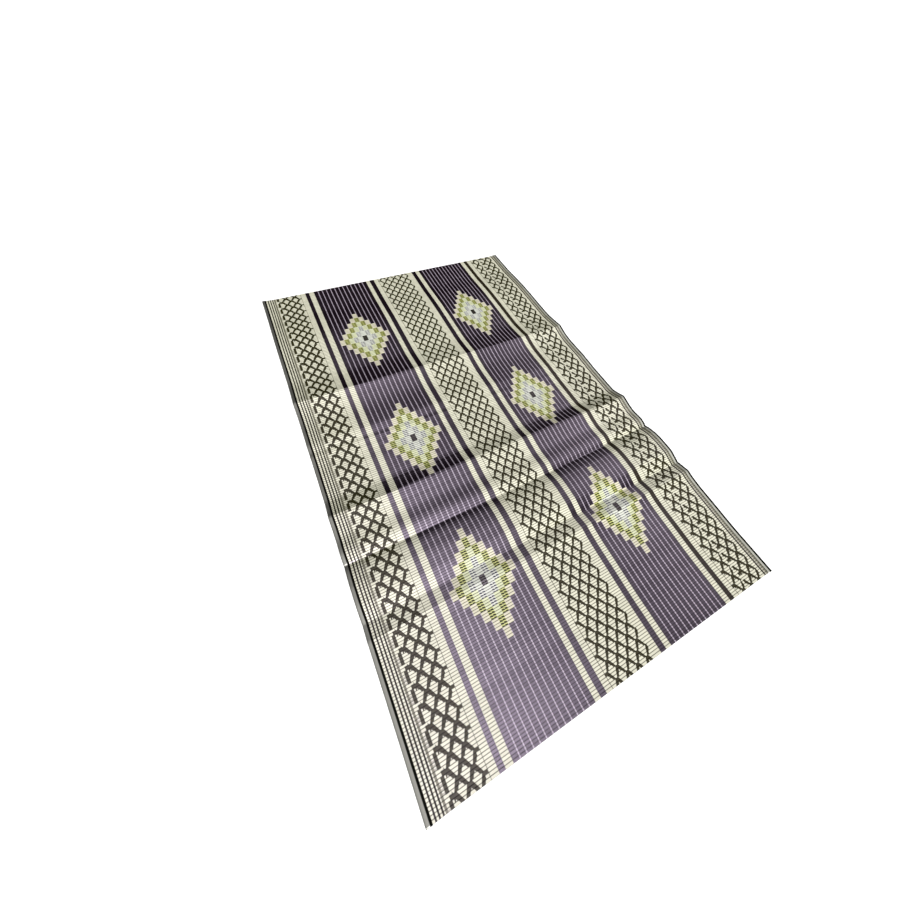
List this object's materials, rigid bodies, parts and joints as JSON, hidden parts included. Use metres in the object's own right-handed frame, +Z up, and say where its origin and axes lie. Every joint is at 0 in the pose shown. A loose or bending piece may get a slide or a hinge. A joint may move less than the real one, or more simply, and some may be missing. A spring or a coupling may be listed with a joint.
{
  "type": "plastic straw mat",
  "caption": "Woven plastic straw floor mat, laid out flat with its storage fold lines, striped and latticed, with a dark tape over each side edge.",
  "frame": {"origin": "centre of the mat on the floor, at the bottom of its bounding box", "axes": "+Y along the mat's length towards its far end, +X across it to the right, +Z up"},
  "size_m": [1.2, 1.7884, 0.0242],
  "materials": {
    "plastic_straw": "satin woven plastic straw in cream, dark purple and olive",
    "edge_tape": "dark grey woven tape"
  },
  "bodies": {
    "root": {"woven_panel": "plastic_straw", "binding_left": "edge_tape", "binding_right": "edge_tape"}
  },
  "joints": []
}
